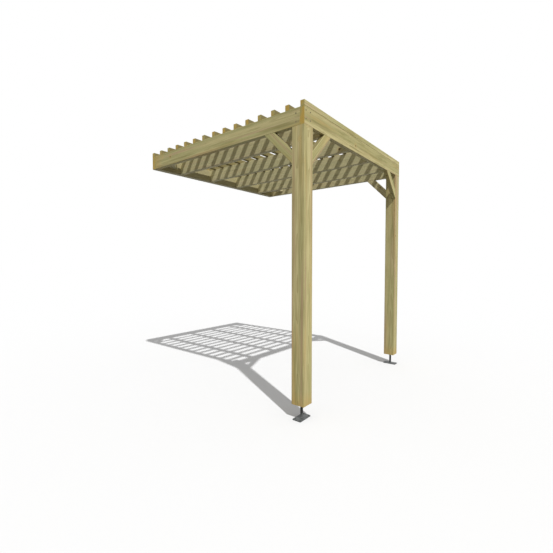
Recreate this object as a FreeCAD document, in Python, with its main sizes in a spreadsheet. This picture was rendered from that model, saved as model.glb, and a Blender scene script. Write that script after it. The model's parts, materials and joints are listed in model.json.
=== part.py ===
import FreeCAD, Part
import math
import os
import re
from types import SimpleNamespace
import Sketcher

# A lean-to timber pergola, in millimetres. +X runs along the front from left to right, +Y goes to the
# wall and +Z is up. The origin is on the ground, under the middle of the object's bounding box.

Vector = FreeCAD.Vector
UP = Vector(0, 0, 1)

doc = FreeCAD.newDocument("LeanToPergola")

# Driving dimensions: name, size, meaning
SIZES = [
    ("frame_width", 2100, "outer width of the timber frame"),
    ("frame_depth", 2100, "front face to wall"),
    ("headroom", 2340, "ground to underside of the beams"),
    ("foot_height", 120, "ground to the post's end"),
    ("post_size", 120, "square section of a post"),
    ("beam_thick", 45, "thickness of beams, joists and braces"),
    ("beam_high", 140, "height of beams and joists"),
    ("wall_plate_thick", 75, "thickness of the beam at the wall"),
    ("slat_wide", 40, "slat width"),
    ("slat_high", 45, "slat height, on edge"),
    ("slat_count", 15, "slats across the depth"),
    ("joist_count", 4, "joists between the side beams"),
    ("joist_inset", 350, "outer face to the first joist's middle"),
    ("brace_clear", 180, "leg of the open triangle inside a brace on a post"),
    ("wall_brace_clear", 130, "the same inside a level brace at the wall"),
    ("brace_wide", 75, "width of a brace across its length"),
    ("arris", 3, "eased long edges of every timber"),
    ("anchor_hole", 12, "holes for wall and ground anchors"),
    ("plate_long", 150, "base plate, long side"),
    ("plate_short", 80, "base plate, short side"),
    ("plate_thick", 8, "base plate, thickness"),
    ("plate_corner", 6, "base plate, corner radius"),
    ("plate_edge", 15, "anchor hole to the plate's edge"),
    ("stem_dia", 24, "threaded stem"),
    ("stem_long", 212, "threaded stem, above the plate"),
    ("stem_chamfer", 2, "stem, bevelled top end"),
    ("weld_leg", 5, "weld between stem and plate"),
    ("stem_gap", 0.05, "running clearance of the stem in its sleeve"),
    ("sleeve_dia", 34, "sleeve in the post's end"),
    ("sleeve_long", 70, "sleeve with its flange"),
    ("flange_dia", 64, "sleeve flange"),
    ("flange_thick", 5, "sleeve flange, let in flush"),
    ("flange_ring", 49, "circle of the flange's screws"),
    ("stem_bore_dia", 27, "bore above the sleeve"),
    ("stem_bore_deep", 165, "bore depth from the post's end"),
    ("head_sunk", 0.5, "screw heads below the surface"),
    ("frame_screw_dia", 6, "screws of beams, joists and braces"),
    ("frame_screw_head", 12, "their heads"),
    ("frame_screw_long", 100, "their length"),
    ("short_screw_long", 75, "the same screws, shorter, for the braces at the wall"),
    ("frame_screw_pocket", 13, "drilled pocket for a sunk head"),
    ("slat_screw_dia", 5, "slat screws"),
    ("slat_screw_head", 10, "their heads"),
    ("slat_screw_long", 70, "their length"),
    ("sleeve_screw_dia", 4.5, "flange screws"),
    ("sleeve_screw_head", 9, "their heads"),
    ("sleeve_screw_long", 40, "their length"),
    ("screw_slack", 0.5, "clearance hole over the shank, on the diameter"),
    ("row_high", 32, "upper corner screws, below the beam's top"),
    ("row_low", 98, "lower corner screws, below the beam's top"),
    ("row_shift", 10, "side screws stand this much lower, to miss the front ones"),
    ("toe_reach", 50, "slanted screw's pocket to the joist's end"),
    ("toe_deep", 8, "slanted screw's head below the joist's top edge"),
    ("brace_seat", 40, "timber under a brace screw's head"),
]
NAMES = {name for name, size, meaning in SIZES}

# Places that several pieces share, as formulas in those names
LEFT = "((plate_long - post_size) / 4 - frame_width / 2)"
FRONT = "((plate_long - post_size) / 4 - frame_depth / 2)"
RIGHT = f"({LEFT} + frame_width)"
BACK = f"({FRONT} + frame_depth)"
BEAM_TOP = "(headroom + beam_high)"
RAFTER_LENGTH = "(frame_depth - beam_thick - wall_plate_thick)"
SLAT_STEP = "((frame_depth - slat_wide) / (slat_count - 1))"
JOIST_STEP = "((frame_width - 2 * joist_inset) / (joist_count - 1))"
BRACE_SPREAD = f"(brace_wide * {math.sqrt(2)})"

sheet = doc.addObject("Spreadsheet::Sheet", "Sizes")
for row, (name, size, meaning) in enumerate(SIZES, start=1):
    sheet.set(f"A{row}", name)
    sheet.set(f"B{row}", str(size))
    sheet.setAlias(f"B{row}", name)
    sheet.set(f"C{row}", meaning)
doc.recompute()
mm = SimpleNamespace(**{name: sheet.get(name) for name in NAMES})

subparts = []


def written_out(formula):
    """A formula in the sheet's names, with the sheet's own name put before each."""
    return re.sub(r"[a-z_]+", lambda word: f"Sizes.{word[0]}" if word[0] in NAMES else word[0], formula)


def bind(thing, **formulas):
    """Binds properties to formulas."""
    for name, formula in formulas.items():
        thing.setExpression(name, written_out(formula))


def place(thing, x="0", y="0", z="0", turn=0, about=UP):
    """Binds a place to formulas, with a turn in degrees about the vertical or another axis."""
    thing.Placement.Rotation = FreeCAD.Rotation(about, turn)
    for axis, formula in zip("xyz", (x, y, z)):
        thing.setExpression(f"Placement.Base.{axis}", written_out(formula))


def new_body(label):
    body = doc.addObject("PartDesign::Body", label)
    body.Label = label
    return body


def new_subpart(label):
    body = new_body(label)
    subparts.append(body)
    return body


def new_sketch(body, plane, height="0"):
    """An empty sketch on one of the body's own planes, or at a height above it."""
    sketch = body.newObject("Sketcher::SketchObject", f"{body.Name}_sketch")
    support = [item for item in body.Origin.OriginFeatures if item.Role == plane]
    sketch.AttachmentSupport = (support[0], [""])
    sketch.MapMode = "FlatFace"
    sketch.setExpression("AttachmentOffset.Base.z", written_out(height))
    return sketch


def pin(sketch, kind, *where, formula):
    """Adds one constraint whose size follows a formula."""
    index = sketch.addConstraint(Sketcher.Constraint(kind, *where, 1.0))
    sketch.renameConstraint(index, f"size_{index}")
    sketch.setExpression(f"Constraints.size_{index}", written_out(formula))


def pin_point(sketch, line, end, x, y):
    """Holds one end of a line, or a circle's centre, at a place in the sketch."""
    for kind, axis, formula in (("DistanceX", -2, x), ("DistanceY", -1, y)):
        if formula == "0":
            sketch.addConstraint(Sketcher.Constraint("PointOnObject", line, end, axis))
        else:
            pin(sketch, kind, -1, 1, line, end, formula=formula)


def outline(sketch, points):
    """A closed outline of straight lines through places given as pairs of formulas."""
    count = len(points)
    ring = [Vector(math.cos(math.tau * i / count), math.sin(math.tau * i / count), 0) for i in range(count)]
    lines = [sketch.addGeometry(Part.LineSegment(ring[i], ring[(i + 1) % count])) for i in range(count)]
    for i, line in enumerate(lines):
        sketch.addConstraint(Sketcher.Constraint("Coincident", line, 2, lines[(i + 1) % count], 1))
    for line, (x, y) in zip(lines, points):
        pin_point(sketch, line, 1, x, y)
    return sketch


def rectangle(sketch, wide, high):
    return outline(sketch, [("0", "0"), (wide, "0"), (wide, high), ("0", high)])


def circles(sketch, diameter, centres):
    for i, (x, y) in enumerate(centres):
        circle = sketch.addGeometry(Part.Circle(Vector(2 * i, 0, 0), UP, 0.5))
        pin_point(sketch, circle, 3, x, y)
        pin(sketch, "Diameter", circle, formula=diameter)
    return sketch


def pad(body, sketch, length, reverse=False):
    feature = body.newObject("PartDesign::Pad", f"{body.Name}_pad")
    feature.Profile = sketch
    feature.Reversed = reverse
    bind(feature, Length=length)


def pocket(body, sketch, depth, reverse=True):
    """A cut that goes up from its sketch, or on an XZ plane, reversed, towards the front."""
    feature = body.newObject("PartDesign::Pocket", f"{body.Name}_pocket")
    feature.Profile = sketch
    feature.Reversed = reverse
    bind(feature, Length=depth)


def turned(body, points):
    """A round piece, turned about Z from half of its section: radius and height."""
    feature = body.newObject("PartDesign::Revolution", f"{body.Name}_turned")
    sketch = outline(new_sketch(body, "XZ_Plane"), points)
    feature.Profile = sketch
    feature.ReferenceAxis = (sketch, ["V_Axis"])


def round_edges(body, direction, radius):
    """Eases the edges that run in one direction."""
    doc.recompute()
    base = body.Tip
    names = []
    for number, edge in enumerate(base.Shape.Edges, start=1):
        run = edge.Vertexes[-1].Point - edge.Vertexes[0].Point
        if run.Length > 0 and abs(abs(run.normalize() * direction) - 1) < 1e-6:
            names.append(f"Edge{number}")
    feature = body.newObject("PartDesign::Fillet", f"{body.Name}_edges")
    feature.Base = (base, names)
    bind(feature, Radius=radius)


def countersunk_holes(body, sketch, screw, reverse=False):
    """Clearance holes for one kind of screw, right through, whose heads end up just below the surface."""
    feature = body.newObject("PartDesign::Hole", f"{body.Name}_holes")
    feature.Profile = sketch
    doc.recompute()
    feature.DepthType = "ThroughAll"
    feature.HoleCutType = "Countersink"
    feature.HoleCutCustomValues = True
    feature.HoleCutCountersinkAngle = 90
    feature.Reversed = reverse
    bind(feature, Diameter=f"{screw}_dia + screw_slack", HoleCutDiameter=f"{screw}_head + 2 * head_sunk")


def head_pocket(body, seat, direction, deep):
    """A drilled pocket and conical seat for the head of a frame screw driven along a direction."""
    drill = body.newObject("PartDesign::SubtractiveCylinder", f"{body.Name}_drill")
    bind(drill, Radius="frame_screw_pocket / 2", Height=deep)
    drill.Placement.Rotation = FreeCAD.Rotation(UP, -direction)
    sink = body.newObject("PartDesign::SubtractiveCone", f"{body.Name}_sink")
    bind(sink, Radius1="frame_screw_head / 2", Radius2="frame_screw_dia / 2")
    bind(sink, Height="(frame_screw_head - frame_screw_dia) / 2")
    sink.Placement.Rotation = FreeCAD.Rotation(UP, direction)
    for feature in (drill, sink):
        for axis, formula in zip("xyz", seat):
            feature.setExpression(f"Placement.Base.{axis}", written_out(formula))


def timber(label, along, wide, high, long):
    """A planed length of timber with eased long edges, lying along X, Y or Z from its own corner."""
    plane, direction = {
        "X": ("YZ_Plane", Vector(1, 0, 0)),
        "Y": ("XZ_Plane", Vector(0, 1, 0)),
        "Z": ("XY_Plane", UP),
    }[along]
    body = new_subpart(label)
    pad(body, rectangle(new_sketch(body, plane), wide, high), long, reverse=along == "Y")
    round_edges(body, direction, "arris")
    return body


def post(label, x, rebate):
    """A post whose top is rebated for the two beams, and whose end is bored for a foot."""
    body = timber(label, "Z", "post_size", "post_size", f"{BEAM_TOP} - foot_height")
    shoulder = new_sketch(body, "XY_Plane", "headroom - foot_height")
    pocket(body, outline(shoulder, rebate), "beam_high")
    middle = [("post_size / 2", "post_size / 2")]
    for diameter, depth in (
        ("flange_dia", "flange_thick"),
        ("sleeve_dia", "sleeve_long"),
        ("stem_bore_dia", "stem_bore_deep"),
    ):
        pocket(body, circles(new_sketch(body, "XY_Plane"), diameter, middle), depth)
    place(body, x, FRONT, "foot_height")


# Posts. The left one is rebated on its front and left, the right one on its front and right.
INNER = "(post_size - beam_thick)"
post("left_post", LEFT, [
    ("0", "0"), ("post_size", "0"), ("post_size", "beam_thick"),
    ("beam_thick", "beam_thick"), ("beam_thick", "post_size"), ("0", "post_size"),
])
post("right_post", f"{RIGHT} - post_size", [
    ("0", "0"), ("post_size", "0"), ("post_size", "post_size"),
    (INNER, "post_size"), (INNER, "beam_thick"), ("0", "beam_thick"),
])

# Front beam: screwed to the side beams' ends and to the posts
INTO_SIDE_BEAM = "beam_thick / 2"
INTO_POST = "(post_size + beam_thick) / 2"
CORNER_COLUMNS = [INTO_SIDE_BEAM, INTO_POST]
CORNER_COLUMNS += [f"frame_width - {column}" for column in CORNER_COLUMNS]
CORNER_ROWS = ["row_high", "row_low"]
front_beam = timber("front_beam", "X", "beam_thick", "beam_high", "frame_width")
corner_centres = [(x, f"beam_high - {row}") for x in CORNER_COLUMNS for row in CORNER_ROWS]
corner_sketch = circles(new_sketch(front_beam, "XZ_Plane"), "frame_screw_dia", corner_centres)
countersunk_holes(front_beam, corner_sketch, "frame_screw")
place(front_beam, LEFT, FRONT, "headroom")

# Wall plate: two pairs of anchor holes, between the braces and the outer joists and in the next bays
OUTER_ANCHOR = f"(beam_thick + wall_brace_clear + {BRACE_SPREAD} + joist_inset - beam_thick / 2) / 2"
INNER_ANCHOR = f"(joist_inset + {JOIST_STEP} / 2)"
wall_plate = timber("wall_plate", "X", "wall_plate_thick", "beam_high", "frame_width")
anchor_centres = []
for inset in (OUTER_ANCHOR, INNER_ANCHOR):
    anchor_centres.append((inset, "beam_high / 2"))
    anchor_centres.append((f"frame_width - {inset}", "beam_high / 2"))
anchor_sketch = circles(new_sketch(wall_plate, "XZ_Plane"), "anchor_hole", anchor_centres)
pocket(wall_plate, anchor_sketch, "wall_plate_thick", reverse=False)
place(wall_plate, LEFT, f"{BACK} - wall_plate_thick", "headroom")

# Slanted screws hold the joists, and the side beams' wall ends, from their top edges
SLANT = math.sqrt(0.5)
TOE_SEAT = f"toe_reach - toe_deep * {SLANT}"
TOE_FALL = f"beam_high - toe_deep * {SLANT}"
TO_FRONT = Vector(0, -SLANT, -SLANT)
TO_WALL = Vector(0, SLANT, -SLANT)
TOE_POCKET_DEEP = "2 * frame_screw_pocket"


def rafter(label, x):
    """A joist or side beam between the front beam and the wall plate."""
    body = timber(label, "Y", "beam_thick", "beam_high", RAFTER_LENGTH)
    seat = ("beam_thick / 2", f"{RAFTER_LENGTH} - ({TOE_SEAT})", TOE_FALL)
    head_pocket(body, seat, TO_WALL, TOE_POCKET_DEEP)
    place(body, x, f"{FRONT} + beam_thick", "headroom")
    return body


def side_beam(label, x, face, reverse):
    """A side beam, with holes for the screws into the post."""
    body = rafter(label, x)
    centres = [(f"{INTO_POST} - beam_thick", f"beam_high - {row} - row_shift") for row in CORNER_ROWS]
    sketch = circles(new_sketch(body, "YZ_Plane", face), "frame_screw_dia", centres)
    countersunk_holes(body, sketch, "frame_screw", reverse)


side_beam("left_side_beam", LEFT, "0", reverse=True)
side_beam("right_side_beam", f"{RIGHT} - beam_thick", "beam_thick", reverse=False)
JOIST_MIDDLES = [f"joist_inset + {i} * {JOIST_STEP}" for i in range(int(mm.joist_count))]
for i, middle in enumerate(JOIST_MIDDLES, start=1):
    joist = rafter(f"joist_{i}", f"{LEFT} + {middle} - beam_thick / 2")
    head_pocket(joist, ("beam_thick / 2", TOE_SEAT, TOE_FALL), TO_FRONT, TOE_POCKET_DEEP)

# Slats: one screw into each side beam and joist, or into the beams under the first and last slats
SLAT_COLUMNS = ["beam_thick / 2", *JOIST_MIDDLES, "frame_width - beam_thick / 2"]
for i in range(int(mm.slat_count)):
    slat = timber(f"slat_{i + 1:02d}", "X", "slat_wide", "slat_high", "frame_width")
    slat_centres = [(x, "slat_wide / 2") for x in SLAT_COLUMNS]
    slat_sketch = circles(new_sketch(slat, "XY_Plane", "slat_high"), "slat_screw_dia", slat_centres)
    countersunk_holes(slat, slat_sketch, "slat_screw")
    place(slat, LEFT, f"{FRONT} + {i} * {SLAT_STEP}", BEAM_TOP)

# Braces: each lies in its own XZ plane, with the corner that it stiffens at its origin


def brace(label, clear, x, y, z, turn, about=UP):
    body = new_subpart(label)
    reach = f"({clear} + {BRACE_SPREAD})"
    middle = f"({clear} + {BRACE_SPREAD} / 2)"
    sides = [("0", f"-{reach}"), (reach, "0"), (clear, "0"), ("0", f"-{clear}")]
    pad(body, outline(new_sketch(body, "XZ_Plane"), sides), "beam_thick", reverse=True)
    round_edges(body, Vector(SLANT, 0, SLANT), "arris")
    half = "beam_thick / 2"
    head_pocket(body, ("brace_seat", half, f"-{middle}"), Vector(-1, 0, 0), "brace_wide")
    head_pocket(body, (middle, half, "-brace_seat"), UP, "brace_wide")
    place(body, x, y, z, turn, about)


for label, x, y, turn in (
    ("front_left_brace", f"{LEFT} + post_size", FRONT, 0),
    ("front_right_brace", f"{RIGHT} - post_size", f"{FRONT} + beam_thick", 180),
    ("left_side_brace", f"{LEFT} + beam_thick", f"{FRONT} + post_size", 90),
    ("right_side_brace", RIGHT, f"{FRONT} + post_size", 90),
):
    brace(label, "brace_clear", x, y, "headroom", turn)

# Level braces between the side beams and the wall plate, at half the beams' height
WALL_FACE = f"({BACK} - wall_plate_thick)"
BRACE_TOP = "headroom + (beam_high + beam_thick) / 2"
BRACE_FOOT = "headroom + (beam_high - beam_thick) / 2"
for label, x, z, turn, about in (
    ("left_wall_brace", f"{LEFT} + beam_thick", BRACE_TOP, -90, Vector(1, 0, 0)),
    ("right_wall_brace", f"{RIGHT} - beam_thick", BRACE_FOOT, 180, Vector(0, 1, 1)),
):
    brace(label, "wall_brace_clear", x, WALL_FACE, z, turn, about)

# Feet: a plate and stem welded together, running in a sleeve in the post's end
HALF_LONG = "(plate_long / 2 - plate_edge)"
HALF_SHORT = "(plate_short / 2 - plate_edge)"


def foot(side, x, turn):
    y = f"{FRONT} + post_size / 2"
    plate = new_subpart(f"{side}_base_plate")
    edges = [
        ("-plate_long / 2", "-plate_short / 2"), ("plate_long / 2", "-plate_short / 2"),
        ("plate_long / 2", "plate_short / 2"), ("-plate_long / 2", "plate_short / 2"),
    ]
    pad(plate, outline(new_sketch(plate, "XY_Plane"), edges), "plate_thick")
    round_edges(plate, UP, "plate_corner")
    anchors = [(f"{a} * {HALF_LONG}", f"{b} * {HALF_SHORT}") for a in (-1, 1) for b in (-1, 1)]
    pocket(plate, circles(new_sketch(plate, "XY_Plane"), "anchor_hole", anchors), "plate_thick")
    place(plate, x, y, "0", turn)
    stem = new_subpart(f"{side}_stem")
    turned(stem, [
        ("0", "0"), ("stem_dia / 2 + weld_leg", "0"), ("stem_dia / 2", "weld_leg"),
        ("stem_dia / 2", "stem_long - stem_chamfer"), ("stem_dia / 2 - stem_chamfer", "stem_long"),
        ("0", "stem_long"),
    ])
    place(stem, x, y, "plate_thick")
    sleeve = new_subpart(f"{side}_sleeve")
    turned(sleeve, [
        ("stem_dia / 2 + stem_gap", "0"), ("flange_dia / 2", "0"), ("flange_dia / 2", "flange_thick"),
        ("sleeve_dia / 2", "flange_thick"), ("sleeve_dia / 2", "sleeve_long"),
        ("stem_dia / 2 + stem_gap", "sleeve_long"),
    ])
    ring = [
        ("flange_ring / 2", "0"), ("0", "flange_ring / 2"),
        ("-flange_ring / 2", "0"), ("0", "-flange_ring / 2"),
    ]
    sketch = circles(new_sketch(sleeve, "XY_Plane"), "sleeve_screw_dia", ring)
    countersunk_holes(sleeve, sketch, "sleeve_screw", reverse=True)
    place(sleeve, x, y, "foot_height")


foot("left", f"{LEFT} + post_size / 2", 0)
foot("right", f"{RIGHT} - post_size / 2", 90)


def screw_form(kind, long):
    """One screw of a kind and length, its head's top at the origin and its point along +Z."""
    body = new_body(f"{long}_form")
    neck = f"({kind}_head - {kind}_dia) / 2"
    turned(body, [
        ("0", "0"), (f"{kind}_head / 2", "0"), (f"{kind}_dia / 2", neck),
        (f"{kind}_dia / 2", f"{long} - 2 * {kind}_dia"), ("0", long),
    ])
    doc.recompute()
    return body.Shape


def screws(label, form, drives):
    """A group of separate screws, each given by its head's place and the way it is driven."""
    copies = []
    for head, direction in drives:
        copy = form.copy()
        copy.Placement = FreeCAD.Placement(head, FreeCAD.Rotation(UP, direction))
        copies.append(copy)
    group = doc.addObject("Part::Feature", label)
    group.Label = label
    group.Shape = Part.makeCompound(copies)
    subparts.append(group)


# Screws. Their places are worked out from the sheet's numbers.
left = (mm.plate_long - mm.post_size) / 4 - mm.frame_width / 2
front = (mm.plate_long - mm.post_size) / 4 - mm.frame_depth / 2
right = left + mm.frame_width
back = front + mm.frame_depth
beam_top = mm.headroom + mm.beam_high
half_beam = mm.beam_thick / 2
into_post = (mm.post_size + mm.beam_thick) / 2
joist_step = (mm.frame_width - 2 * mm.joist_inset) / (mm.joist_count - 1)
joist_x = [left + mm.joist_inset + i * joist_step for i in range(int(mm.joist_count))]
side_x = [left + half_beam, right - half_beam]
sunk = mm.head_sunk
rows = [beam_top - mm.row_high, beam_top - mm.row_low]

corner_drives = []
for z in rows:
    for x in (side_x[0], left + into_post, right - into_post, side_x[1]):
        corner_drives.append((Vector(x, front + sunk, z), Vector(0, 1, 0)))
    low = z - mm.row_shift
    corner_drives.append((Vector(left + sunk, front + into_post, low), Vector(1, 0, 0)))
    corner_drives.append((Vector(right - sunk, front + into_post, low), Vector(-1, 0, 0)))

toe_start = mm.toe_deep * SLANT
toe_head = mm.toe_reach - toe_start
toe_drives = []
for x in joist_x:
    toe_drives.append((Vector(x, front + mm.beam_thick + toe_head, beam_top - toe_start), TO_FRONT))
for x in joist_x + side_x:
    toe_drives.append((Vector(x, back - mm.wall_plate_thick - toe_head, beam_top - toe_start), TO_WALL))

half_spread = mm.brace_wide * math.sqrt(2) / 2
seat = mm.brace_seat
along_brace = mm.brace_clear + half_spread
drop = mm.headroom - along_brace
under = mm.headroom - seat
brace_drives = []
for post_face, side in ((left + mm.post_size, 1), (right - mm.post_size, -1)):
    brace_drives.append((Vector(post_face + side * seat, front + half_beam, drop), Vector(-side, 0, 0)))
    brace_drives.append((Vector(post_face + side * along_brace, front + half_beam, under), UP))
post_back = front + mm.post_size
for x in side_x:
    brace_drives.append((Vector(x, post_back + seat, drop), Vector(0, -1, 0)))
    brace_drives.append((Vector(x, post_back + along_brace, under), UP))

wall_face = back - mm.wall_plate_thick
along_brace = mm.wall_brace_clear + half_spread
half_high = mm.headroom + mm.beam_high / 2
wall_brace_drives = []
for beam_face, side in ((left + mm.beam_thick, 1), (right - mm.beam_thick, -1)):
    to_beam = Vector(beam_face + side * seat, wall_face - along_brace, half_high)
    to_wall = Vector(beam_face + side * along_brace, wall_face - seat, half_high)
    wall_brace_drives.append((to_beam, Vector(-side, 0, 0)))
    wall_brace_drives.append((to_wall, Vector(0, 1, 0)))

slat_step = (mm.frame_depth - mm.slat_wide) / (mm.slat_count - 1)
slat_top = beam_top + mm.slat_high
slat_drives = []
for i in range(int(mm.slat_count)):
    y = front + mm.slat_wide / 2 + i * slat_step
    for x in side_x + joist_x:
        slat_drives.append((Vector(x, y, slat_top - sunk), -UP))

ring = mm.flange_ring / 2
sleeve_drives = []
for x in (left + mm.post_size / 2, right - mm.post_size / 2):
    middle = Vector(x, front + mm.post_size / 2, mm.foot_height + sunk)
    for step in (Vector(ring, 0, 0), Vector(0, ring, 0), Vector(-ring, 0, 0), Vector(0, -ring, 0)):
        sleeve_drives.append((middle + step, UP))

frame_screw = screw_form("frame_screw", "frame_screw_long")
screws("corner_screws", frame_screw, corner_drives)
screws("joist_screws", frame_screw, toe_drives)
screws("brace_screws", frame_screw, brace_drives)
screws("wall_brace_screws", screw_form("frame_screw", "short_screw_long"), wall_brace_drives)
screws("slat_screws", screw_form("slat_screw", "slat_screw_long"), slat_drives)
screws("sleeve_screws", screw_form("sleeve_screw", "sleeve_screw_long"), sleeve_drives)

doc.recompute()
for thing in doc.Objects:
    if "Invalid" in thing.State or "Error" in thing.State:
        raise RuntimeError(f"{thing.Label} failed: {thing.State}")
for subpart in subparts:
    if subpart.Shape.isNull() or not subpart.Shape.isValid():
        raise RuntimeError(f"{subpart.Label} has no valid shape")

os.makedirs("parts", exist_ok=True)
for subpart in subparts:
    subpart.Shape.exportStep(f"parts/{subpart.Label}.step")
    box = subpart.Shape.BoundBox
    print(f"{subpart.Label}: {len(subpart.Shape.Solids)} solids, {subpart.Shape.Volume / 1000:.2f} cm3,"
          f" x {box.XMin:.1f} to {box.XMax:.1f}, y {box.YMin:.1f} to {box.YMax:.1f},"
          f" z {box.ZMin:.1f} to {box.ZMax:.1f}")
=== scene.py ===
import json
import math
import random
from collections import namedtuple

import bmesh
import bpy
import numpy as np
from mathutils import Matrix, Vector

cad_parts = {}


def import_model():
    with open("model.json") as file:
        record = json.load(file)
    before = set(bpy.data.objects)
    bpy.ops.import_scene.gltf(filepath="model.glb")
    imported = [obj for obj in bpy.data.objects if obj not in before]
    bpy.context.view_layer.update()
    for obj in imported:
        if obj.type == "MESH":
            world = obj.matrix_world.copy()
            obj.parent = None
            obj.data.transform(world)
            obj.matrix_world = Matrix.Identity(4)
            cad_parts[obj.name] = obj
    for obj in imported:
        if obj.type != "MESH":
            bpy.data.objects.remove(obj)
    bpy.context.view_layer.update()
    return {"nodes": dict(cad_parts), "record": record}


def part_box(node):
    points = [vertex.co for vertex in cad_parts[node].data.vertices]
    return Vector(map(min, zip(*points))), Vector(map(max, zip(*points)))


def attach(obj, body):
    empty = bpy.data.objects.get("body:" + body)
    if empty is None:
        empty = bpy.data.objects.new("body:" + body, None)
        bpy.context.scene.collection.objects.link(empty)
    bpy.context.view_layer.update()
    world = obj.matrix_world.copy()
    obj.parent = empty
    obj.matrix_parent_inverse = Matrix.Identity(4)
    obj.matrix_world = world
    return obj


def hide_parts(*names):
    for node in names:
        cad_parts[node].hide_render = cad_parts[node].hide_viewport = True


# A lean-to pergola of planed, treated softwood on two screw feet, in metres. +X runs along the front from
# left to right, +Y goes to the wall and +Z is up.

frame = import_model()

POSTS = ("left_post", "right_post")
BEAMS = ("front_beam", "wall_plate", "left_side_beam", "right_side_beam")
JOISTS = tuple(f"joist_{number}" for number in range(1, 5))
SLATS = tuple(f"slat_{number:02d}" for number in range(1, 16))
BRACES = ("left_side_brace", "front_left_brace", "front_right_brace", "right_side_brace")
WALL_BRACES = ("left_wall_brace", "right_wall_brace")
SIDES = ("left", "right")

# Sizes of the timbers
ARRIS = 0.003  # rounding of the long edges
CUT_EASE = 0.0008  # easing around the sawn ends
STATION = 0.06  # about how far apart the rings of points are
BRACE_WIDE = 0.075  # width of a brace, square to its slant
BOW = 0.001  # most that a timber bows, in X and in Y

# Sizes of the cuts
OVERCUT = 0.01  # how far a cutter stands out of what it cuts
SLIGHT_OVERCUT = 0.001  # the same at a post's foot and at a base plate
BORE_RADIUS = 0.017  # of the hole in a post's foot, above the sleeve's flange
BORE_DEPTH = 0.165
FLANGE_DEPTH = 0.005
BORE_AROUND = 48
HEAD_SLACK = 0.0001  # room under a screw's head
HEAD_REACH = 0.001  # how far a head may lie from the timber it is driven into
COUNTERSINK_OVER = 0.003  # how far a countersink's cutter goes on past the head
POCKET_ROOM = 0.0005  # room around a sunk head
POCKET_REACH = 0.12  # length of a pocket's cutter
HOLE_AROUND = 24

# Sizes of the feet
PLATE_CORNER = 0.006  # rounding of a base plate's corners
PLATE_CHAMFER = 0.0006  # at the rims of its holes
PLATE_HOLE_AROUND = 32
STEM_CREST = 0.012  # radius over the thread
STEM_CORE = 0.0102
STEM_PITCH = 0.003
STEM_AROUND = 52
NECK_INSET = 0.0003  # how much thinner the plain neck is than the thread
NECK_HEIGHTS = (0.0065, 0.009)
THREAD_LOW = 0.0105  # where the thread starts, above the plate
BEVEL_TALL = 0.002  # at the stem's top
BEVEL_INSET = 0.0004
WELD_LEG = 0.005
WELD_SWELL = 0.0009
WELD_BITE = 0.0001
WELD_STEPS = 6
WELD_RIPPLES = 26

# Radius of the shank of every kind of screw, and the kinds whose heads are sunk in pockets
SHANKS = {
    "corner_screws": 0.003,
    "joist_screws": 0.003,
    "brace_screws": 0.003,
    "wall_brace_screws": 0.003,
    "slat_screws": 0.0025,
    "sleeve_screws": 0.00225,
}
SUNK = ("joist_screws", "brace_screws", "wall_brace_screws")

# Ends that turn honey-coloured, by the ground and by the wall, as shares of the timber's length
HONEY_ENDS = {"left_post": 0, "right_post": 0, "left_side_beam": 1, "right_side_beam": 1}
HONEY_REACH = 0.12  # how far the yellow goes from such an end

# How dark the front beam is at its foot, its middle and its top, which are shares of its height
DARK_HEIGHTS = (0, 0.5, 1)
DARK_SHARES = (0, 1, 0.6)

# Which draw of the log's lot a timber takes, where it isn't the first
DRAWS = {"left_post": 6, "right_post": 9, "front_beam": 1, "left_side_beam": 8, "left_side_brace": 7}

# The unwrap of a timber: its sides below, its two ends and then its cuts in a strip above them
UNWRAP = "OFBake"
SIDES_TALL = 0.87
SIDES_RIM = 0.004  # share of the length that each eased edge takes
ENDS_LEFT = (0.02, 0.52)
ENDS_LOW = 0.89
END_LONG = 0.4
END_TALL = 0.1

# Windows in the unwrap as left, width, low and height
CUTS_WINDOW = (0.935, 0.055, 0.9, 0.09)
STEM_WINDOW = (0.01, 0.98, 0.01, 0.98)
SCREW_WINDOW = (0.03, 0.94, 0.03, 0.94)


# Node trees

class Wire:
    """A socket in a material's nodes. Arithmetic on it adds Math nodes, and node() adds any other kind."""

    def __init__(self, tree, socket=None):
        self.tree = tree
        self.socket = socket

    def node(self, kind, settings=None, inputs=None, output=0):
        made = self.tree.nodes.new(f"ShaderNode{kind}")
        for name, value in (settings or {}).items():
            setattr(made, name, value)
        for place, value in (inputs or {}).items():
            if isinstance(value, Wire):
                self.tree.links.new(value.socket, made.inputs[place])
            else:
                made.inputs[place].default_value = value
        return Wire(self.tree, made.outputs[output])

    def out(self, name):
        """Another output of the node this one comes from."""
        return Wire(self.tree, self.socket.node.outputs[name])

    def math(self, operation, *values):
        return self.node("Math", {"operation": operation}, dict(enumerate(values)))

    def vector(self, operation, *values, output=0):
        return self.node("VectorMath", {"operation": operation}, dict(enumerate(values)), output)

    def fade(self, low, high):
        """0 below the low value, 1 above the high one, and a smooth change between them."""
        limits = {"Value": self, "From Min": low, "From Max": high}
        return self.node("MapRange", {"interpolation_type": "SMOOTHSTEP"}, limits)

    def blend(self, first, second):
        """A colour that goes from the first to the second as this value goes from 0 to 1."""
        settings = {"data_type": "RGBA", "clamp_factor": True}
        return self.node("Mix", settings, {0: self, 6: first, 7: second}, output=2)

    def __add__(self, other):
        return self.math("ADD", self, other)

    def __sub__(self, other):
        return self.math("SUBTRACT", self, other)

    def __mul__(self, other):
        return self.math("MULTIPLY", self, other)

    def __truediv__(self, other):
        return self.math("DIVIDE", self, other)

    def __pow__(self, other):
        return self.math("POWER", self, other)

    def __rsub__(self, other):
        return self.math("SUBTRACT", other, self)

    __radd__ = __add__
    __rmul__ = __mul__


def screen(red, green, blue):
    """A colour given as it looks on screen, 0 to 255, in the linear values that shaders use."""
    shares = [value / 255 for value in (red, green, blue)]
    linear = [share / 12.92 if share <= 0.04045 else ((share + 0.055) / 1.055) ** 2.4 for share in shares]
    return (*linear, 1.0)


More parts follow.
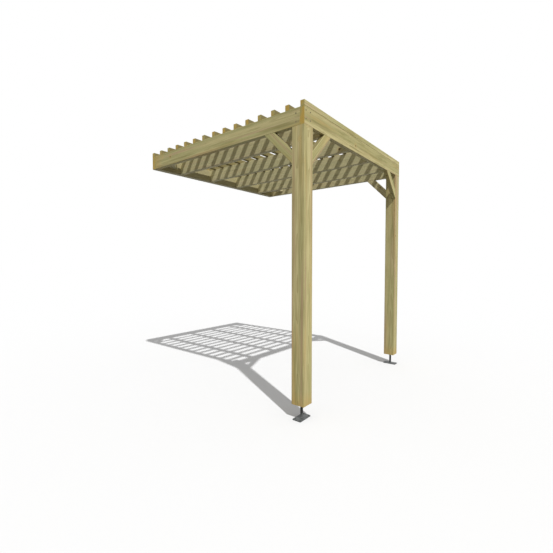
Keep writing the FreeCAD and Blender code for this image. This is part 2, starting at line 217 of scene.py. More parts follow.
def grey(level):
    return (level, level, level, 1.0)


def new_material(name):
    material = bpy.data.materials.new(name)
    material.use_nodes = True
    material.node_tree.nodes.clear()
    return material, Wire(material.node_tree)


def close(wire, shader):
    """Joins a shader to the material's output."""
    output = wire.tree.nodes.new("ShaderNodeOutputMaterial")
    wire.tree.links.new(shader.socket, output.inputs["Surface"])


# Materials

PALE = screen(244, 238, 196)
STRAW = screen(226, 214, 157)
SAGE = screen(196, 192, 134)
OLIVE = screen(154, 149, 92)
CLAY = screen(203, 172, 138)
HONEY = screen(218, 184, 114)
LATE_WOOD = screen(152, 134, 82)
# Darker tint that paints shade onto chosen faces of a timber, where the lamps light them
PAINTED_SHADE = screen(124, 116, 80)
KNOT = screen(120, 88, 46)
KNOT_RIM = screen(92, 70, 36)
SAWN = screen(216, 180, 88)
SAWN_GREEN = screen(192, 180, 114)

RING_PITCH = 0.0062
BARREN = 0.68  # share of the branches that left no knot
BLEACH = 0.58  # share of the pale colour in bleached wood
PLANED_RINGS = 0.42  # how strongly the growth rings show
SAWN_RINGS = 0.5


def attribute(wire, name, output="Fac"):
    """A value that a mesh's points carry. It is zero on a mesh that hasn't got it."""
    return wire.node("Attribute", {"attribute_name": name}, output=output)


def stretched(grain, along, cross):
    """Grain space with its length and its section scaled apart."""
    return grain.vector("MULTIPLY", grain, (along, cross, cross))


def soft_noise(space, detail=2.0, roughness=0.5):
    inputs = {"Vector": space, "Scale": 1.0, "Detail": detail, "Roughness": roughness}
    return space.node("TexNoise", {"noise_dimensions": "3D"}, inputs)


def sawn_colour(grain):
    """Sawn wood before its rings, fibres and knots."""
    patch = soft_noise(stretched(grain, 14.0, 14.0), detail=1.0).fade(0.4, 0.62)
    return patch.blend(SAWN, SAWN_GREEN)


def planed_colour(grain, drift, damp, bleached, shaded_faces, shade_share):
    """Planed wood before its rings, fibres and knots. Painted shade lies on its tops, or on all faces but
    those.
    """
    tone = attribute(grain, "tone")
    broad = soft_noise(stretched(grain, 0.55, 21.0)).fade(0.34, 0.66)
    blush = soft_noise(stretched(grain, 0.7, 34.0)).fade(0.5, 0.72)
    warm = soft_noise(stretched(grain, 1.1, 15.0), detail=1.0).fade(0.5, 0.74)
    streak = soft_noise(stretched(grain, 2.8, 30.0), detail=3.0).fade(0.48, 0.74)
    vein = soft_noise(stretched(grain, 0.8, 27.0), detail=1.0)
    vein = 1.0 - vein.math("ABSOLUTE", vein - 0.5).fade(0.004, 0.035)

    colour = (broad + 0.3 * tone).blend(SAGE, STRAW)
    colour = (0.85 * blush).blend(colour, CLAY)
    colour = (0.6 * warm + 0.15 * tone).blend(colour, HONEY)
    colour = (damp * streak).blend(colour, OLIVE)
    colour = (attribute(grain, "darkened") * (0.55 * drift + 0.7 * streak)).blend(colour, OLIVE)
    colour = (0.7 * attribute(grain, "yellowed")).blend(colour, HONEY)
    colour = (0.3 * vein).blend(colour, OLIVE)
    if bleached:
        colour = grain.node("Mix", {"data_type": "RGBA"}, {0: BLEACH, 6: colour, 7: PALE}, output=2)
    # Painted shade: the upward faces, or all faces but those, are darkened towards the shade tint
    if shaded_faces:
        facing = grain.node("NewGeometry", output="Normal")
        upwards = grain.node("SeparateXYZ", inputs={0: facing}, output="Z").fade(0.3, 0.65)
        colour = (shade_share * (upwards if shaded_faces == "tops" else 1.0 - upwards)).blend(colour, PAINTED_SHADE)
    return colour


def timber_material(name, sawn=False, relief=True, damp=0.5, bleached=False, shaded_faces=None, shade_share=0.9):
    """Planed or sawn softwood. Its grain space runs along the timber, with the pith at zero."""
    material, wire = new_material(name)
    grain = attribute(wire, "grain", "Vector")
    along = wire.node("SeparateXYZ", inputs={0: grain})
    sway_inputs = {"W": along, "Scale": 0.9, "Detail": 1.0}
    sway = wire.node("TexNoise", {"noise_dimensions": "1D"}, sway_inputs, "Color")
    cross = wire.vector("MULTIPLY_ADD", sway, (0.0, 0.03, 0.03), stretched(grain, 0.0, 1.0))
    radius = wire.vector("LENGTH", cross, output="Value")

    spokes = wire.vector("NORMALIZE", cross)
    branches = wire.vector("MULTIPLY_ADD", spokes, (0.56, 0.56, 0.56), stretched(grain, 7.0, 0.0))
    branch = wire.node("TexVoronoi", {"feature": "F1"}, {"Vector": branches, "Scale": 1.0})
    lot = wire.node("SeparateColor", inputs={0: branch.out("Color")})
    grown = lot.math("GREATER_THAN", lot, BARREN)
    reach = 0.05 + 0.07 * lot.out("Green")
    knot = (1.0 - (branch / reach).fade(0.75, 1.0)) * grown
    rim = knot * (branch / reach).fade(0.45, 0.9)
    bend = (1.0 - (branch / reach).fade(0.6, 3.4)) * grown

    drift = soft_noise(stretched(grain, 1.3, 26.0))
    rings = radius / RING_PITCH + 1.6 * drift + 2.2 * bend
    late = rings.math("FRACT", rings) ** 2.2
    fibre = soft_noise(stretched(grain, 9.0, 620.0), detail=2.0)

    if sawn:
        colour = sawn_colour(grain)
    else:
        colour = planed_colour(grain, drift, damp, bleached, shaded_faces, shade_share)
    colour = ((SAWN_RINGS if sawn else PLANED_RINGS) * late).blend(colour, LATE_WOOD)
    colour = (0.3 * fibre.fade(0.42, 0.7)).blend(colour, LATE_WOOD)
    colour = (0.35 * bend * (1.0 - knot)).blend(colour, HONEY)
    colour = (0.85 * knot).blend(colour, KNOT)
    colour = (0.7 * rim).blend(colour, KNOT_RIM)

    surface = {"Base Color": colour, "Roughness": 0.62, "Specular IOR Level": 0.18}
    if relief:
        surface["Roughness"] = 0.52 + 0.2 * fibre
        height = 0.6 * late + 0.5 * fibre + 0.8 * knot
        bump = {"Strength": 0.35, "Distance": 0.0006, "Height": height}
        surface["Normal"] = wire.node("Bump", inputs=bump)
    close(wire, wire.node("BsdfPrincipled", inputs=surface))
    return material


def steel_material(name, dark, light, metallic, roughness):
    """Mottled steel: painted when it isn't metallic, plated when it is."""
    material, wire = new_material(name)
    place = wire.node("TexCoord", output="Object")
    cloud = soft_noise(wire.vector("MULTIPLY", place, (38.0, 38.0, 38.0)), detail=4.0, roughness=0.6)
    speck = soft_noise(wire.vector("MULTIPLY", place, (900.0, 900.0, 900.0)), detail=1.0)
    colour = (0.7 * cloud.fade(0.35, 0.68) + 0.3 * speck.fade(0.45, 0.7)).blend(dark, light)
    rough = roughness + 0.16 * (cloud - 0.5)
    surface = {"Base Color": colour, "Metallic": metallic, "Roughness": rough}
    close(wire, wire.node("BsdfPrincipled", inputs=surface))
    return material


PLANED_POST = timber_material("planed_post")
PLANED_BEAM = timber_material("planed_beam", damp=0.7)
# Bleached wood: partly the wood's own paler colour, partly painted fill light that makes the faces inside
# the roof paler than the lamps light them
BLEACHED_AND_PAINTED_FILL = timber_material("bleached_timber_with_painted_fill", bleached=True)
# Painted shade on the braces' upper faces, which the sun lights
BRACE_WITH_SHADED_TOPS = timber_material("brace_with_painted_shade_on_tops", shaded_faces="tops", shade_share=0.8)
# Painted shade on the wall plate's faces but its top, dimming its sunlit band
PLATE_WITH_SHADED_SIDES = timber_material("plate_with_painted_shade_on_sides", bleached=True, shaded_faces="sides", shade_share=0.4)
PLANED_SLAT = timber_material("planed_slat", relief=False)
# Painted shade on the faces of the slats but their tops; the plain copy above has none
SLAT_WITH_SHADED_SIDES = timber_material("slat_with_soiled_sides", relief=False, shaded_faces="sides")
SAWN_END = timber_material("sawn_end", sawn=True, relief=False)
FOOT_PAINT = steel_material("foot_paint", screen(68, 71, 70), screen(94, 97, 95), 0.0, 0.45)
ZINC = steel_material("zinc_plating", screen(128, 126, 118), screen(158, 156, 148), 1.0, 0.42)
SCREW_ZINC = steel_material("dulled_zinc", screen(112, 106, 88), screen(136, 130, 112), 1.0, 0.48)


# Shapes

FLAT_GAP = 0.002  # from the end of a flat side to the point close to it
SHARP_ANGLE = math.radians(32)


def outline(wide, high, ease, steps):
    """A rounded section as (across, up) points, with a point close to each end of every flat side."""
    corners = ((wide - ease, ease), (wide - ease, high - ease), (ease, high - ease), (ease, ease))
    arcs = []
    for quarter, (across, up) in enumerate(corners):
        angles = [math.radians(90 * (quarter - 1 + step / steps)) for step in range(steps + 1)]
        arcs.append([(across + ease * math.cos(angle), up + ease * math.sin(angle)) for angle in angles])
    points = []
    for arc, following in zip(arcs, arcs[1:] + arcs[:1]):
        points += arc
        start = Vector(arc[-1])
        end = Vector(following[0])
        near = FLAT_GAP / (end - start).length
        points += [tuple(start.lerp(end, share)) for share in (near, 0.5, 1 - near)]
    return points


def swept(section, length, mitre=0.0, bow=(0.0, 0.0)):
    """A bar along its own first axis with eased ends. A mitre slants both ends apart from each other."""
    bar = bmesh.new()
    unwrap = bar.loops.layers.uv.new(UNWRAP)
    wide = max(across for across, up in section)
    high = max(up for across, up in section)
    count = max(2, round(length / STATION))
    inner = [(length * number / count, 0.0) for number in range(1, count)]
    stations = [(0.0, CUT_EASE), (CUT_EASE, 0.0), *inner, (length - CUT_EASE, 0.0), (length, CUT_EASE)]
    rings = []
    for along, inset in stations:
        belly = math.sin(math.pi * along / length)
        ring = []
        for across, up in section:
            across += inset * (1 - 2 * across / wide)
            up += inset * (1 - 2 * up / high)
            skewed = along + mitre * across * (2 * along / length - 1)
            ring.append(bar.verts.new((skewed, across + bow[0] * belly, up + bow[1] * belly)))
        rings.append(ring)

    gaps = [math.dist(here, there) for here, there in zip(section, section[1:] + section[:1])]
    lanes = [SIDES_TALL * sum(gaps[:number]) / sum(gaps) for number in range(len(gaps) + 1)]
    inner_steps = [SIDES_RIM + (1 - 2 * SIDES_RIM) * along / length for along, inset in stations[1:-1]]
    steps = [0.0, *inner_steps, 1.0]
    for row in range(len(rings) - 1):
        for lane in range(len(section)):
            after = (lane + 1) % len(section)
            corners = (rings[row][lane], rings[row][after], rings[row + 1][after], rings[row + 1][lane])
            face = bar.faces.new(corners)
            places = ((row, lane), (row, lane + 1), (row + 1, lane + 1), (row + 1, lane))
            for loop, (step, side) in zip(face.loops, places):
                loop[unwrap].uv = (steps[step], lanes[side])
    for left, ring in zip(ENDS_LEFT, (rings[0][::-1], rings[-1])):
        face = bar.faces.new(ring)
        face.material_index = 1
        for loop in face.loops:
            across = loop.vert.co.y / wide
            up = loop.vert.co.z / high
            loop[unwrap].uv = (left + END_LONG * up, ENDS_LOW + END_TALL * across)
    return bar


def circle(radius, height, around):
    angles = [2 * math.pi * number / around for number in range(around)]
    return [Vector((radius * math.cos(angle), radius * math.sin(angle), height)) for angle in angles]


def point(height):
    return [Vector((0, 0, height))]


def skin(shape, rings, place=Matrix(), window=CUTS_WINDOW):
    """Covers rings of places, from the lowest up. A ring may be one point, or finer than its neighbour."""
    unwrap = shape.loops.layers.uv.get(UNWRAP) or shape.loops.layers.uv.new(UNWRAP)
    left, wide, low_edge, tall = window
    made = [[shape.verts.new(place @ spot) for spot in ring] for ring in rings]
    for row, (low, high) in enumerate(zip(made, made[1:])):
        count = max(len(low), len(high))
        for number in range(count):
            here = number / count
            there = (number + 1) / count
            spots = (
                (low, here, row),
                (low, there, row),
                (high, there, row + 1),
                (high, here, row + 1),
            )
            corners = {}
            for ring, turn, level in spots:
                vertex = ring[int(turn * len(ring) + 0.001) % len(ring)]
                corners[vertex] = (turn, level)
            face = shape.faces.new(corners)
            face.material_index = 1
            for loop in face.loops:
                turn, level = corners[loop.vert]
                loop[unwrap].uv = (left + wide * turn, low_edge + tall * level / len(made))


def thread(core, crest, pitch, low, high, around, rows):
    """Rings of a right-hand thread from one height up to another."""
    count = round((high - low) / pitch * rows)
    rings = []
    for row in range(count + 1):
        height = low + (high - low) * row / count
        ring = []
        for spot in circle(1.0, 0.0, around):
            turn = math.atan2(spot.y, spot.x) / (2 * math.pi)
            ridge = 1 - abs(2 * ((height / pitch - turn) % 1.0) - 1)
            radius = core + (crest - core) * ridge
            ring.append(Vector((radius * spot.x, radius * spot.y, height)))
        rings.append(ring)
    return rings


def turned_to(heading):
    """The turn that brings +Z to a heading."""
    return Vector((0, 0, 1)).rotation_difference(heading).to_matrix()


def finished(shape, name, materials, place=Matrix()):
    """Turns a shape into a piece in the scene."""
    mesh = bpy.data.meshes.new(name)
    shape.to_mesh(mesh)
    shape.free()
    for material in materials:
        mesh.materials.append(material)
    piece = bpy.data.objects.new(name, mesh)
    piece.matrix_world = place
    bpy.context.scene.collection.objects.link(piece)
    return piece


def smooth(piece):
    """Shades a piece smooth, except over its edges."""
    piece.data.shade_smooth()
    piece.data.set_sharp_from_angle(angle=SHARP_ANGLE)


def carve(piece, cutters):
    """Cuts the cutters' shape, made in the object's frame, out of a piece."""
    tool = finished(cutters, "cutters", piece.data.materials)
    cut = piece.modifiers.new("carve", "BOOLEAN")
    cut.operation = "DIFFERENCE"
    cut.solver = "EXACT"
    cut.object = tool
    whole = piece.data
    depsgraph = bpy.context.evaluated_depsgraph_get()
    piece.data = bpy.data.meshes.new_from_object(piece.evaluated_get(depsgraph))
    piece.modifiers.remove(cut)
    bpy.data.meshes.remove(whole)
    bpy.data.meshes.remove(tool.data)


# Screws

# A screw by its head's centre, its heading, its length and its head's radius
Screw = namedtuple("Screw", "head heading length radius")


def driven_screws(node):
    """Every screw in a node, read from its solids."""
    shape = bmesh.new()
    shape.from_mesh(frame["nodes"][node].data)
    bmesh.ops.remove_doubles(shape, verts=shape.verts, dist=1e-6)
    screws = []
    waiting = set(shape.verts)
    while waiting:
        island = []
        edge = [waiting.pop()]
        while edge:
            vertex = edge.pop()
            island.append(vertex.co.copy())
            for link in vertex.link_edges:
                other = link.other_vert(vertex)
                if other in waiting:
                    waiting.remove(other)
                    edge.append(other)
        spots = np.array(island)
        middle = spots.mean(axis=0)
        line = np.linalg.svd(spots - middle, full_matrices=False)[2][0]
        reach = (spots - middle) @ line
        spread = np.linalg.norm(spots - middle - np.outer(reach, line), axis=1)
        if reach[spread.argmax()] > 0:
            line = -line
            reach = -reach
        head = Vector(middle + reach.min() * line)
        screws.append(Screw(head, Vector(line), reach.max() - reach.min(), spread.max()))
    shape.free()
    return sorted(screws, key=lambda screw: tuple(screw.head))


SCREWS = {node: driven_screws(node) for node in SHANKS}


# Timbers

def head_hole(cutters, screw, sunk):
    """Countersink for a screw's head. For a head that is sunk, a straight pocket goes on outwards."""
    seat = screw.radius + HEAD_SLACK
    rings = [point(-seat)]
    if sunk:
        pocket = screw.radius + POCKET_ROOM
        rings += [circle(seat, 0.0, HOLE_AROUND), circle(pocket, 0.0, HOLE_AROUND)]
        rings += [circle(pocket, POCKET_REACH, HOLE_AROUND), point(POCKET_REACH)]
    else:
        rings += [circle(seat + COUNTERSINK_OVER, COUNTERSINK_OVER, HOLE_AROUND), point(COUNTERSINK_OVER)]
    skin(cutters, rings, Matrix.Translation(screw.head) @ turned_to(-screw.heading).to_4x4())


def drill(cutters, radius, start, end):
    """Round hole between two places, which lie outside the timber."""
    reach = (end - start).length
    rings = [point(0.0), circle(radius, 0.0, HOLE_AROUND), circle(radius, reach, HOLE_AROUND), point(reach)]
    skin(cutters, rings, Matrix.Translation(start) @ turned_to(end - start).to_4x4())


def post_cuts(cutters, node):
    """The rebate that two beams sit in, and the bore for the foot's sleeve and stem."""
    side = node.split("_")[0]
    low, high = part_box(node)
    front_low, front_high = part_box("front_beam")
    side_low, side_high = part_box(f"{side}_side_beam")
    outer, inner, shoulder = low.x - OVERCUT, high.x + OVERCUT, side_high.x
    if side == "right":
        outer, inner, shoulder = high.x + OVERCUT, low.x - OVERCUT, side_low.x
    near = low.y - OVERCUT
    back = front_high.y
    far = high.y + OVERCUT
    plan = ((outer, near), (inner, near), (inner, back), (shoulder, back), (shoulder, far), (outer, far))
    base = [cutters.verts.new((x, y, front_low.z)) for x, y in plan]
    lid = [cutters.verts.new((x, y, high.z + OVERCUT)) for x, y in plan]
    walls = [cutters.faces.new(base), cutters.faces.new(lid)]
    for number in range(len(plan)):
        after = (number + 1) % len(plan)
        walls.append(cutters.faces.new((base[number], base[after], lid[after], lid[number])))
    for wall in walls:
        wall.material_index = 1
    bmesh.ops.recalc_face_normals(cutters, faces=walls)

    sleeve_low, sleeve_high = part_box(f"{side}_sleeve")
    middle = (sleeve_low + sleeve_high) / 2
    flange = (sleeve_high.x - sleeve_low.x) / 2
    start = low.z - SLIGHT_OVERCUT
    seat = low.z + FLANGE_DEPTH
    end = low.z + BORE_DEPTH
    rings = [point(start), circle(flange, start, BORE_AROUND), circle(flange, seat, BORE_AROUND)]
    rings += [circle(BORE_RADIUS, seat, BORE_AROUND), circle(BORE_RADIUS, end, BORE_AROUND), point(end)]
    skin(cutters, rings, Matrix.Translation((middle.x, middle.y, 0.0)))


def wall_holes(cutters, node):
    """The holes for the anchors that hold a timber to the wall."""
    low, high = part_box(node)
    for mount in frame["record"]["mounts"]:
        if mount["name"].startswith("wall_anchors"):
            x, y, z = mount["pos_m"]
            for way in (-0.5, 0.5):
                across = x + way * mount["dims"]["spacing_x_mm"] / 1000
                start = Vector((across, low.y - OVERCUT, z))
                end = Vector((across, high.y + OVERCUT, z))
                drill(cutters, mount["dims"]["hole_r_mm"] / 1000, start, end)


def lies_in(head, low, high):
    """Whether a screw's head lies in a timber's box or close enough to it."""
    return all(low[axis] - HEAD_REACH <= head[axis] <= high[axis] + HEAD_REACH for axis in range(3))


def cuts_for(node):
    """Everything that is cut out of a timber, as one shape. It is empty for a timber without cuts."""
    cutters = bmesh.new()
    low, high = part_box(node)
    if node in POSTS:
        post_cuts(cutters, node)
    else:
        for group, screws in SCREWS.items():
            for screw in screws:
                if lies_in(screw.head, low, high):
                    head_hole(cutters, screw, group in SUNK)
    if node == "wall_plate":
        wall_holes(cutters, node)
    return cutters


def straight_place(node):
    """Where a straight timber lies: a matrix whose first axis is its length, and its three sizes."""
    low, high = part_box(node)
    size = high - low
    axis = max(range(3), key=lambda number: size[number])
    order = (axis, (axis + 1) % 3, (axis + 2) % 3)
    turn = Matrix([Matrix.Identity(3)[number] for number in order]).transposed()
    return Matrix.Translation(low) @ turn.to_4x4(), [size[number] for number in order]


def brace_place(node):
    """The same for a brace, at 45 degrees from a post up to a beam, or level in a corner at the wall."""
    low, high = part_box(node)
    size = high - low
    thick = min(range(3), key=lambda number: size[number])
    rise = 1 if node in WALL_BRACES else 2
    level = 3 - thick - rise
    way = -1 if node in ("front_right_brace", "right_wall_brace") else 1
    outwards = Vector((0, 0, 0))
    outwards[level] = way
    upwards = Vector((0, 0, 0))
    upwards[rise] = 1
    along = (outwards + upwards).normalized()
    across = (outwards - upwards).normalized()
    up = along.cross(across)
    clear = size[rise] - BRACE_WIDE * math.sqrt(2)
    start = Vector((0, 0, 0))
    start[rise] = high[rise] - clear
    start[level] = low[level] if way > 0 else high[level]
    start[thick] = low[thick] if up[thick] > 0 else high[thick]
    turn = Matrix((along, across, up)).transposed()
    return Matrix.Translation(start) @ turn.to_4x4(), [clear * math.sqrt(2), BRACE_WIDE, size[thick]]


def pith_of(draw, wide, high, boxed):
    """Where the heart of the log lay, from the timber's own corner: inside a post, beside a sawn board."""
    if boxed:
        return wide / 2 + draw.uniform(-0.025, 0.025), high / 2 + draw.uniform(-0.025, 0.025)
    beside = draw.choice((-1, 1)) * draw.uniform(0.03, 0.07)
    if wide < high:
        return wide / 2 + beside, high * draw.uniform(0.2, 0.8)
    return wide * draw.uniform(0.2, 0.8), high / 2 + beside


def carry(mesh, name, values):
    """Gives every point of a mesh a value that its material reads."""
    mesh.attributes.new(name, "FLOAT", "POINT").data.foreach_set("value", values)


def timber(node, material):
    """One timber in place of a node, with its cuts, its own piece of the log and its own tone."""
    draw = random.Random(f"{node} {DRAWS.get(node, 0)}")
    slanted = node in BRACES + WALL_BRACES
    place, (length, wide, high) = brace_place(node) if slanted else straight_place(node)
    sideways = Vector((draw.uniform(-1, 1), draw.uniform(-1, 1), 0.0)) * (0.0 if slanted else BOW)
    bow = place.to_3x3().transposed() @ sideways
    bar = swept(outline(wide, high, ARRIS, 4), length, 1.0 if slanted else 0.0, (bow.y, bow.z))
    piece = finished(bar, f"{node}_timber", (material, SAWN_END), place)
    cutters = cuts_for(node)
    if cutters.verts:
        carve(piece, cutters)
    smooth(piece)

    across, up = pith_of(draw, wide, high, node in POSTS)
    shift = np.array((draw.uniform(5, 60), -across, -up))
    mesh = piece.data
    spots = np.empty(3 * len(mesh.vertices))
    mesh.vertices.foreach_get("co", spots)
    spots = spots.reshape(-1, 3)
    grain = mesh.attributes.new("grain", "FLOAT_VECTOR", "POINT")
    grain.data.foreach_set("vector", (spots + shift).ravel())
    carry(mesh, "tone", np.full(len(spots), draw.uniform(-1, 1)))
    if node in HONEY_ENDS:
        away = abs(spots[:, 0] - HONEY_ENDS[node] * length)
        carry(mesh, "yellowed", np.clip(1 - away / HONEY_REACH, 0, 1))
    if node == "front_beam":
        carry(mesh, "darkened", np.interp(spots[:, 2] / high, DARK_HEIGHTS, DARK_SHARES))

    mesh.transform(place)
    piece.matrix_world = Matrix()
    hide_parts(node)
    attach(piece, "frame")


# Kinds of timber with their slots and finishes, and the timbers whose finish isn't their kind's
TIMBERS = (
    (POSTS, "post_timber", PLANED_POST),
    (BEAMS, "beam_timber", PLANED_BEAM),
    # Pale wood, partly painted fill light
    (JOISTS, "joist_timber", BLEACHED_AND_PAINTED_FILL),
    # Painted shade on the sides of slats 2 to 15
    (SLATS, "slat_timber", SLAT_WITH_SHADED_SIDES),
    # Painted shade on the braces' upper faces
    (BRACES, "brace_timber", BRACE_WITH_SHADED_TOPS),
    (WALL_BRACES, "brace_timber", BLEACHED_AND_PAINTED_FILL),
)
FINISHES = {
    # Painted shade on the wall plate's sides
    "wall_plate": PLATE_WITH_SHADED_SIDES,
    # Painted fill light: these two are made paler to match the inner faces under the roof
    "right_side_beam": BLEACHED_AND_PAINTED_FILL,
    "right_side_brace": BLEACHED_AND_PAINTED_FILL,
    # The first slat keeps the plain copy, without painted shade on its sides
    SLATS[0]: PLANED_SLAT,
}

for names, slot, finish in TIMBERS:
    for name in names:
        timber(name, FINISHES.get(name, finish))


# Feet

def base_plate(side):
    """Flat plate with rounded corners and four drilled, chamfered anchor holes."""
    node = f"{side}_base_plate"
    low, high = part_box(node)
    size = high - low
    section = outline(size.x, size.y, PLATE_CORNER, 6)
    turn = Matrix(((0, 1, 0), (0, 0, 1), (1, 0, 0))).to_4x4()
    place = Matrix.Translation(low) @ turn
    piece = finished(swept(section, size.z), f"{node}_steel", (FOOT_PAINT, FOOT_PAINT), place)

    mount = next(each for each in frame["record"]["mounts"] if each["name"] == f"{side}_foot_anchors")
    middle = Vector(mount["pos_m"])
    radius = mount["dims"]["hole_r_mm"] / 1000
    flare = radius + PLATE_CHAMFER + SLIGHT_OVERCUT
    under = -SLIGHT_OVERCUT
    over = size.z + SLIGHT_OVERCUT
    rings = [point(under), circle(flare, under, PLATE_HOLE_AROUND)]
    for height in (PLATE_CHAMFER, size.z - PLATE_CHAMFER):
        rings.append(circle(radius, height, PLATE_HOLE_AROUND))
    rings += [circle(flare, over, PLATE_HOLE_AROUND), point(over)]
    cutters = bmesh.new()
    for way_x in (-0.5, 0.5):
        for way_y in (-0.5, 0.5):
            x = middle.x + way_x * mount["dims"]["spacing_x_mm"] / 1000
            y = middle.y + way_y * mount["dims"]["spacing_y_mm"] / 1000
            skin(cutters, rings, Matrix.Translation((x, y, low.z)))
    carve(piece, cutters)
    piece.data.uv_layers.remove(piece.data.uv_layers[UNWRAP])
    smooth(piece)
    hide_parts(node)
    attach(piece, f"{side}_foot")


def weld_rings(inner, around):
    """Rings of a rippled weld, from the plate up to the stem."""
    rings = []
    for step in range(WELD_STEPS + 1):
        share = step / WELD_STEPS
        ring = []
        for number, spot in enumerate(circle(1.0, 0.0, around)):
            ripple = 0.5 + 0.5 * math.sin(2 * math.pi * (WELD_RIPPLES * number / around + 0.5 * share))
            swell = WELD_SWELL * math.sin(math.pi * share) * (0.55 + 0.45 * ripple)
            radius = inner + WELD_LEG * (1 - share) + swell - WELD_BITE
            ring.append(Vector((radius * spot.x, radius * spot.y, WELD_LEG * share + swell)))
        rings.append(ring)
    return rings


def stem(side):
    """Threaded stem, welded to the plate, with a bevelled top end."""
    node = f"{side}_stem"
    low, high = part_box(node)
    tall = high.z - low.z
    rings = [point(0.0)]
    rings += weld_rings(STEM_CREST, 2 * STEM_AROUND)
    rings += [circle(STEM_CREST - NECK_INSET, height, STEM_AROUND) for height in NECK_HEIGHTS]
    rings += thread(STEM_CORE, STEM_CREST, STEM_PITCH, THREAD_LOW, tall - BEVEL_TALL, STEM_AROUND, 6)
    rings += [circle(STEM_CORE - BEVEL_INSET, tall, STEM_AROUND), point(tall)]
    shape = bmesh.new()
    middle = (low + high) / 2
    skin(shape, rings, Matrix.Translation((middle.x, middle.y, low.z)), STEM_WINDOW)
    piece = finished(shape, f"{node}_thread", (FOOT_PAINT, FOOT_PAINT))
    smooth(piece)
    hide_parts(node)
    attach(piece, f"{side}_foot")


def sleeve(side):
    """Flanged sleeve in the post's end, kept as it was drawn."""
    piece = frame["nodes"][f"{side}_sleeve"]
    piece.data.materials[0] = ZINC


for side in SIDES:
    base_plate(side)
    stem(side)
    sleeve(side)


# Screw heads, shanks and threads

THREAD_AROUND = 12
HEAD_AROUND = 24
HEAD_RIM = (-0.0004, -0.0002)  # heights between which a head's rim is upright
HEAD_EASE = 0.0003  # at the rim's top
LOBE = 0.16  # how far a recess's lobes go in and out, as a share of its radius


def star(radius, height, around):
    """Ring of a six-lobed recess."""
    ring = []
    for spot in circle(1.0, height, around):
        lobe = 1 + LOBE * math.cos(6 * math.atan2(spot.y, spot.x))
        ring.append(Vector((radius * lobe * spot.x, radius * lobe * spot.y, height)))
    return ring


def screw_rings(length, head, shank):
    """A countersunk screw with its head's top at zero, from the point up."""
    core = 0.7 * shank
    pitch = 1.15 * shank
    start = -length + 2.2 * shank
    rings = [point(-length), circle(0.5 * core, start - shank, THREAD_AROUND)]
    rings += thread(core, shank, pitch, start, -0.42 * length, THREAD_AROUND, 4)
    rings += [circle(core, -0.4 * length, THREAD_AROUND), circle(core, core - head, HEAD_AROUND)]
    rings += [circle(head, height, HEAD_AROUND) for height in HEAD_RIM]
    rings += [circle(head - HEAD_EASE, 0.0, HEAD_AROUND), star(0.45 * head, 0.0, HEAD_AROUND)]
    rings += [star(0.42 * head, -0.45 * head, HEAD_AROUND), point(-0.5 * head)]
    return rings


def screw_group(node, shank):
    """All screws of one kind as one piece, each turned its own way and with its own tile of the unwrap."""
    draw = random.Random(node)
    screws = SCREWS[node]
    pattern = bmesh.new()
    skin(pattern, screw_rings(screws[0].length, screws[0].radius, shank), window=SCREW_WINDOW)
    mould = bpy.data.meshes.new("mould")
    pattern.to_mesh(mould)
    pattern.free()
    spots = np.array([vertex.co for vertex in mould.vertices])
    faces = [tuple(face.vertices) for face in mould.polygons]
    places = np.array([loop.uv for loop in mould.uv_layers[UNWRAP].data])
    bpy.data.meshes.remove(mould)

    across = math.ceil(math.sqrt(len(screws)))
    all_spots = []
    all_faces = []
    all_places = []
    for number, screw in enumerate(screws):
        spin = Matrix.Rotation(draw.uniform(0, math.pi), 3, "Z")
        turn = turned_to(-screw.heading) @ spin
        first = number * len(spots)
        all_spots.append(spots @ np.array(turn).T + np.array(screw.head))
        all_faces += [[first + corner for corner in face] for face in faces]
        all_places.append((places + (number % across, number // across)) / across)
    mesh = bpy.data.meshes.new(f"{node}_threaded")
    mesh.from_pydata(np.concatenate(all_spots), [], all_faces)
    mesh.uv_layers.new(name=UNWRAP).data.foreach_set("uv", np.concatenate(all_places).ravel())
    mesh.materials.append(SCREW_ZINC)
    piece = bpy.data.objects.new(f"{node}_threaded", mesh)
    bpy.context.scene.collection.objects.link(piece)
    smooth(piece)
    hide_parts(node)
    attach(piece, "frame")


for node, shank in SHANKS.items():
    screw_group(node, shank)


# Floor, light and camera

# Floor and sky as they light the timbers, and as they are seen
FLOOR_LIGHT = grey(0.14)
FLOOR_SEEN = grey(0.82)
SKY_LIGHT = grey(0.48)
SKY_SEEN = grey(1.0)

FLOOR_DROP = 0.0003  # below the base plates
FLOOR_SIZE = 60.0
SUN_HEADING = Vector((0.514, 1.0, -1.577))
EYE = (-3.2606, -2.5428, 1.2669)
EYE_DOWN = 2.24  # degrees below level
EYE_LEFT = 38.68  # degrees to the left of +X
LENS = 22.26


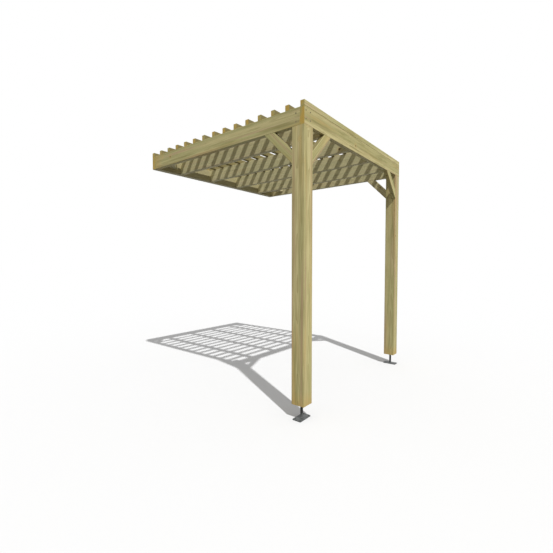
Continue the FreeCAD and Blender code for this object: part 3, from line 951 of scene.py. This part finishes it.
def seen_rays(wire):
    """1 for rays that show the background itself, 0 for rays that carry its light."""
    path = wire.node("LightPath", output="Is Camera Ray")
    mirrored = path.math("MAXIMUM", path, path.out("Is Glossy Ray"))
    return path.math("MAXIMUM", mirrored, path.out("Is Transmission Ray"))


def floor():
    """A matt floor that is clear from below."""
    material, wire = new_material("floor")
    colour = seen_rays(wire).blend(FLOOR_LIGHT, FLOOR_SEEN)
    matt = wire.node("BsdfDiffuse", inputs={"Color": colour})
    under = wire.node("NewGeometry", output="Backfacing")
    clear = wire.node("BsdfTransparent")
    close(wire, wire.node("MixShader", inputs={0: under, 1: matt, 2: clear}))
    shape = bmesh.new()
    place = Matrix.Translation((0.0, 0.0, -FLOOR_DROP))
    bmesh.ops.create_grid(shape, x_segments=1, y_segments=1, size=FLOOR_SIZE, matrix=place)
    finished(shape, "floor", (material,))


def world():
    sky = bpy.data.worlds.new("studio")
    sky.use_nodes = True
    sky.node_tree.nodes.clear()
    wire = Wire(sky.node_tree)
    colour = seen_rays(wire).blend(SKY_LIGHT, SKY_SEEN)
    light = wire.node("Background", inputs={"Color": colour})
    output = sky.node_tree.nodes.new("ShaderNodeOutputWorld")
    sky.node_tree.links.new(light.socket, output.inputs["Surface"])
    bpy.context.scene.world = sky


def sun():
    light = bpy.data.lights.new("sun", "SUN")
    light.energy = 2.85
    light.angle = math.radians(1.0)
    lamp = bpy.data.objects.new("sun", light)
    lamp.rotation_euler = SUN_HEADING.to_track_quat("-Z", "Y").to_euler()
    bpy.context.scene.collection.objects.link(lamp)


def camera():
    lens = bpy.data.cameras.new("camera")
    lens.sensor_width = 36.0
    lens.lens = LENS
    lens.clip_end = 200.0
    eye = bpy.data.objects.new("camera", lens)
    eye.location = EYE
    eye.rotation_euler = (math.radians(90 - EYE_DOWN), 0.0, math.radians(EYE_LEFT - 90))
    bpy.context.scene.collection.objects.link(eye)
    bpy.context.scene.camera = eye


floor()
world()
sun()
camera()
bpy.context.scene.view_settings.view_transform = "Standard"
